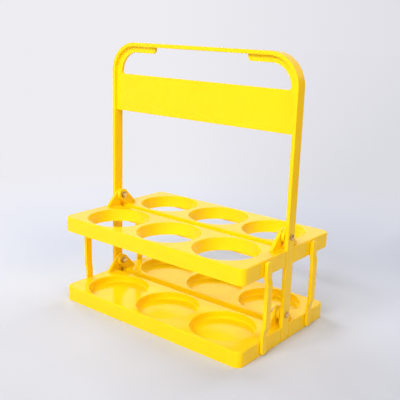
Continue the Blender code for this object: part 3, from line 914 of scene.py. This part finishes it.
def rim_shade_group():
    """Painted shade: a dark rim, standing for shade and dark reflections, round a small turned piece, its
    axis along X, that leaves the middle bright.
    """
    group, given = new_group("Painted rim shade", ("Colour", "Roughness"), Colour=UNSET_COLOUR,
                             Grime_Colour=RIM_SHADE_BROWN, Roughness=0.2, Grime_Roughness=0.5,
                             Clean_Radius=0.3, Rim_Radius=0.5, Amount=0.5)
    # The place in the piece's own box, from the box's middle and without the part along X
    place = add_node(group, "ShaderNodeTexCoord").outputs["Generated"]
    across = vector_sum(group, "MULTIPLY_ADD", place, (0.0, 1.0, 1.0), (0.0, -0.5, -0.5))["Vector"]
    radius = vector_sum(group, "LENGTH", across)["Value"]
    rim = share_of(group, radius, given["Clean Radius"], given["Rim Radius"], interpolation_type="SMOOTHSTEP")
    cloud = cloudy(group, "Generated", Scale=3.0, Detail=3.0)
    patches = share_of(group, cloud, low=0.25, high=0.55, To_Min=0.5)
    lay_over(group, given, patchy(group, given, rim, patches), "Grime")
    return group


def dust_group():
    """A trace of pale dust on faces that look up."""
    group, given = new_group("Settled dust", ("Colour", "Roughness"), Colour=UNSET_COLOUR,
                             Dust_Colour=DUST_GREY, Roughness=0.4, Amount=0.1)
    normal = add_node(group, "ShaderNodeNewGeometry").outputs["Normal"]
    upward = share_of(group, add_node(group, "ShaderNodeSeparateXYZ", normal).outputs["Z"], *DUSTY_SLOPE)
    cloud = cloudy(group, "Object", Scale=260.0, Detail=5.0, Roughness=0.7)
    patches = share_of(group, cloud, low=0.45, high=0.75)
    mask = patchy(group, given, upward, patches)
    add_node(group, "NodeGroupOutput",
             Colour=mixed(group, "RGBA", mask, given["Colour"], given["Dust Colour"]),
             Roughness=sum_of(group, "ADD", given["Roughness"], mask))
    return group


# Materials

def new_material(name):
    """A material with its Principled shader, and the node tree to add to."""
    material = bpy.data.materials.new(name)
    material.use_nodes = True
    tree = material.node_tree
    return material, tree, tree.nodes["Principled BSDF"]


def layered(name, groups, layers, grain, bump):
    """A material of shared effects, each laid over the one before, with fine pits in its surface."""
    material, tree, shader = new_material(name)
    under = {}
    for effect, values in layers:
        layer = add_node(tree, "ShaderNodeGroup", node_tree=groups[effect], **values, **under)
        under = {label: layer.outputs[label] for label in ("Colour", "Roughness")}
    pits = add_node(tree, "ShaderNodeGroup", node_tree=groups["grain"], **grain)
    bumps = add_node(tree, "ShaderNodeBump", Height=pits.outputs["Height"], **bump)
    feed_all(tree, shader, Base_Color=under["Colour"], Roughness=under["Roughness"],
             Normal=bumps.outputs["Normal"])
    return material, tree, shader


def plastic(name, groups, colours, roughness, dust):
    """Glossy moulded plastic: flow, rubbed edges, a trace of dust and fine grain."""
    colour, deep, rubbed = colours
    layers = (("flow", dict(Colour=colour, Deep_Colour=deep, Amount=0.6, Size=14.0, Roughness=roughness)),
              ("wear", dict(Rubbed_Colour=rubbed, Rubbed_Roughness=0.20, Amount=0.25)),
              ("dust", dict(Amount=dust)))
    material, tree, shader = layered(name, groups, layers, dict(Size=1400.0, Depth=0.5),
                                     dict(Strength=0.10, Distance=0.0002))
    feed_all(tree, shader, IOR=1.49, Specular_IOR_Level=0.45, Specular_Tint=GLOSS_TINT,
             Subsurface_Weight=0.15, Subsurface_Radius=(1.0, 0.45, 0.05), Subsurface_Scale=0.004)
    return material


def zinc(name, groups, colours, roughness, unshaded_radius, rim_shade):
    """Zinc plate on steel: cloudy colour, bright rubbed edges, a painted shade round its rim and fine pits.
    """
    colour, deep = colours
    layers = (("flow", dict(Colour=colour, Deep_Colour=deep, Amount=0.8, Size=420.0, Roughness=roughness)),
              ("wear", dict(Rubbed_Colour=RUBBED_ZINC, Rubbed_Roughness=0.12, Amount=0.3)),
              # Painted shade and dark reflection round the rim
              ("rim_shade", dict(Clean_Radius=unshaded_radius, Rim_Radius=0.5, Amount=rim_shade)))
    material, tree, shader = layered(name, groups, layers, dict(Size=5200.0, Depth=0.6),
                                     dict(Strength=0.12, Distance=0.0001))
    feed_all(tree, shader, Metallic=1.0)
    return material


def far_tone(tree, way, level_right):
    """The tone of the studio's far side in a direction: its white left and dark right are out of the view."""
    across = vector_sum(tree, "DOT_PRODUCT", way, level_right)["Value"]
    spread = share_of(tree, across, low=-1.0, high=1.0)
    tone = add_node(tree, "ShaderNodeValToRGB", Fac=spread)
    stops = tone.color_ramp.elements
    while len(stops) < len(FAR_TONES):
        stops.new(1.0)
    for stop, (where, colour) in zip(stops, FAR_TONES):
        stop.position = where
        stop.color = colour
    return tone.outputs["Color"]


def bare_rays(tree):
    """1 for rays that look at the studio straight, by a reflection or through something clear."""
    path = add_node(tree, "ShaderNodeLightPath").outputs
    seen = sum_of(tree, "ADD", path["Is Camera Ray"], path["Is Glossy Ray"], use_clamp=True)
    return sum_of(tree, "ADD", seen, path["Is Transmission Ray"], use_clamp=True)


def studio_paper(level_right):
    """Matte pale paper with the faintest mottling and a painted shade that darkens it to the right, that
    melts into the far tone away from the carrier.
    """
    material, tree, shader = new_material("studio_paper")
    place = add_node(tree, "ShaderNodeTexCoord").outputs["Object"]
    # The paper darkens to the right: painted shade
    shade_lean = share_of(tree, vector_sum(tree, "DOT_PRODUCT", place, level_right)["Value"], *PAPER_SHADE_LEAN)
    cloud = cloudy(tree, "Object", Scale=3.0, Detail=2.0)
    share = sum_of(tree, "MULTIPLY_ADD", cloud, PAPER_MOTTLING, shade_lean, use_clamp=True)
    feed_all(tree, shader, Base_Color=mixed(tree, "RGBA", share, NEAR_LEFT_PAPER, NEAR_RIGHT_PAPER),
             Roughness=0.85, Specular_IOR_Level=0.2)

    reach = vector_sum(tree, "LENGTH", place)["Value"]
    fade = share_of(tree, reach, *PAPER_FADE, interpolation_type="SMOOTHSTEP")
    way = vector_sum(tree, "NORMALIZE", place)["Vector"]
    glow = add_node(tree, "ShaderNodeEmission", Color=far_tone(tree, way, level_right))
    melt = add_node(tree, "ShaderNodeMixShader", sum_of(tree, "MULTIPLY", fade, bare_rays(tree)),
                    shader.outputs["BSDF"], glow.outputs["Emission"])
    feed_all(tree, tree.nodes["Material Output"], Surface=melt.outputs["Shader"])
    return material


# Putting it together

def dress_carrier():
    """Make every piece of the carrier, in its material, on its body."""
    groups = {"flow": flow_group(), "grain": grain_group(), "wear": wear_group(), "dust": dust_group(),
              "rim_shade": rim_shade_group()}
    tray_yellow = plastic("tray_plastic", groups, YELLOWS, roughness=0.12, dust=0.01)
    handle_yellow = plastic("handle_plastic", groups, YELLOWS, roughness=0.10, dust=0.01)
    link_yellow = plastic("link_plastic", groups, YELLOWS, roughness=0.10, dust=0.01)
    bolt_metal = zinc("bolt_zinc", groups, BOLT_TANS, roughness=0.16, unshaded_radius=0.34, rim_shade=0.7)
    nut_metal = zinc("nut_zinc", groups, NUT_GOLDS, roughness=0.12, unshaded_radius=0.30, rim_shade=0.35)
    washer_metal = zinc("washer_zinc", groups, WASHER_GOLDS, roughness=0.22, unshaded_radius=0.34, rim_shade=0.25)
    nylon = plastic("nut_nylon", groups, NYLON_WHITES, roughness=0.45, dust=0.02)

    piece("handle", make_handle(), "handle", "handle_frame", handle_yellow)
    for level in LEVELS:
        front = make_half(level)
        rear = front.copy()
        rear.transform(Matrix.Rotation(math.pi, 4, "Z"))
        for side, mesh in (("front", front), ("rear", rear)):
            piece(f"{side}_{level}_half", mesh, f"{side}_{level}_half", f"{side}_{level}_tray",
                  tray_yellow)
    for side in SIDES:
        for end in ENDS:
            piece(f"{side}_{end}_side_link", make_link(side, end), f"{side}_{end}_tie", f"{side}_{end}_link",
                  link_yellow)
    for level in LEVELS:
        for end in ENDS:
            name = f"{level}_{end}"
            piece(f"{name}_bolt", make_bolt(level, end), "handle", f"{name}_hinge_bolt",
                  bolt_metal)
            piece(f"{name}_washer", make_washer(level, end), "handle", f"{name}_hinge_washer",
                  washer_metal)
            piece(f"{name}_nut", make_nut(level, end), "handle", f"{name}_lock_nut", nut_metal)
            piece(f"{name}_nut_nylon", make_nylon(level, end), "handle", None, nylon)


def camera_axes():
    """Right, up and forward of the camera."""
    turn, tilt, roll = (math.radians(angle) for angle in (CAMERA_TURN, CAMERA_TILT, CAMERA_ROLL))
    forward = Vector((-math.sin(turn) * math.cos(tilt), math.cos(turn) * math.cos(tilt), -math.sin(tilt)))
    level_right = Vector((math.cos(turn), math.sin(turn), 0.0))
    level_up = level_right.cross(forward)
    right = level_right * math.cos(roll) + level_up * math.sin(roll)
    up = level_up * math.cos(roll) - level_right * math.sin(roll)
    return right, up, forward


def set_camera():
    """The camera of the photograph."""
    right, up, forward = camera_axes()
    data = bpy.data.cameras.new("camera")
    data.sensor_width = SENSOR_WIDTH_MM
    data.lens = FOCAL_PIXELS / PHOTO_SIZE * SENSOR_WIDTH_MM
    data.shift_x = 0.5 - OPTICAL_CENTRE_PIXELS[0] / PHOTO_SIZE
    data.shift_y = OPTICAL_CENTRE_PIXELS[1] / PHOTO_SIZE - 0.5
    camera = bpy.data.objects.new("camera", data)
    bpy.context.scene.collection.objects.link(camera)
    turned = Matrix((right, up, -forward)).transposed().to_4x4()
    place = CAMERA_AIM - forward * CAMERA_DISTANCE + right * CAMERA_SLIDE[0] + up * CAMERA_SLIDE[1]
    camera.matrix_world = Matrix.Translation(place) @ turned
    bpy.context.scene.camera = camera


def add_softbox(name, turn, tilt, width, height, watts, colour):
    """A softbox that faces the carrier, and that neither the camera nor a reflection shows."""
    turn, tilt = math.radians(turn), math.radians(tilt)
    way = Vector((math.sin(turn) * math.cos(tilt), -math.cos(turn) * math.cos(tilt), math.sin(tilt)))
    data = bpy.data.lights.new(name, "AREA")
    data.shape = "RECTANGLE"
    data.size, data.size_y = width, height
    data.energy = watts
    data.color = colour
    lamp = bpy.data.objects.new(name, data)
    bpy.context.scene.collection.objects.link(lamp)
    lamp.location = SOFTBOX_AIM + SOFTBOX_DISTANCE * way
    lamp.rotation_euler = (-way).to_track_quat("-Z", "Y").to_euler()
    lamp.visible_camera = False
    lamp.visible_glossy = False


def set_studio():
    """A pale paper floor, softboxes all round, and a pale world that shows but gives no light."""
    right = camera_axes()[0]
    level_right = Vector((right.x, right.y, 0)).normalized()
    shape = bmesh.new()
    shape.faces.new([shape.verts.new((x, y, 0)) for x, y in polygon(FLOOR_RADIUS, FLOOR_CORNERS)])
    floor = bpy.data.objects.new("paper_floor", mesh_of(shape, "paper_floor"))
    floor.data.materials.append(studio_paper(level_right))
    bpy.context.scene.collection.objects.link(floor)
    for softbox in SOFTBOXES:
        add_softbox(*softbox)

    world = bpy.data.worlds.new("studio")
    bpy.context.scene.world = world
    world.use_nodes = True
    tree = world.node_tree
    way = add_node(tree, "ShaderNodeTexCoord").outputs["Generated"]
    height = add_node(tree, "ShaderNodeSeparateXYZ", way).outputs["Z"]
    roof = share_of(tree, height, *ROOF_RISE, interpolation_type="SMOOTHSTEP")
    tone = mixed(tree, "RGBA", roof, far_tone(tree, way, level_right), ROOF_TONE)
    feed_all(tree, tree.nodes["Background"], Color=tone, Strength=bare_rays(tree))


set_camera()
dress_carrier()
set_studio()
bpy.context.scene.view_settings.view_transform = "Standard"
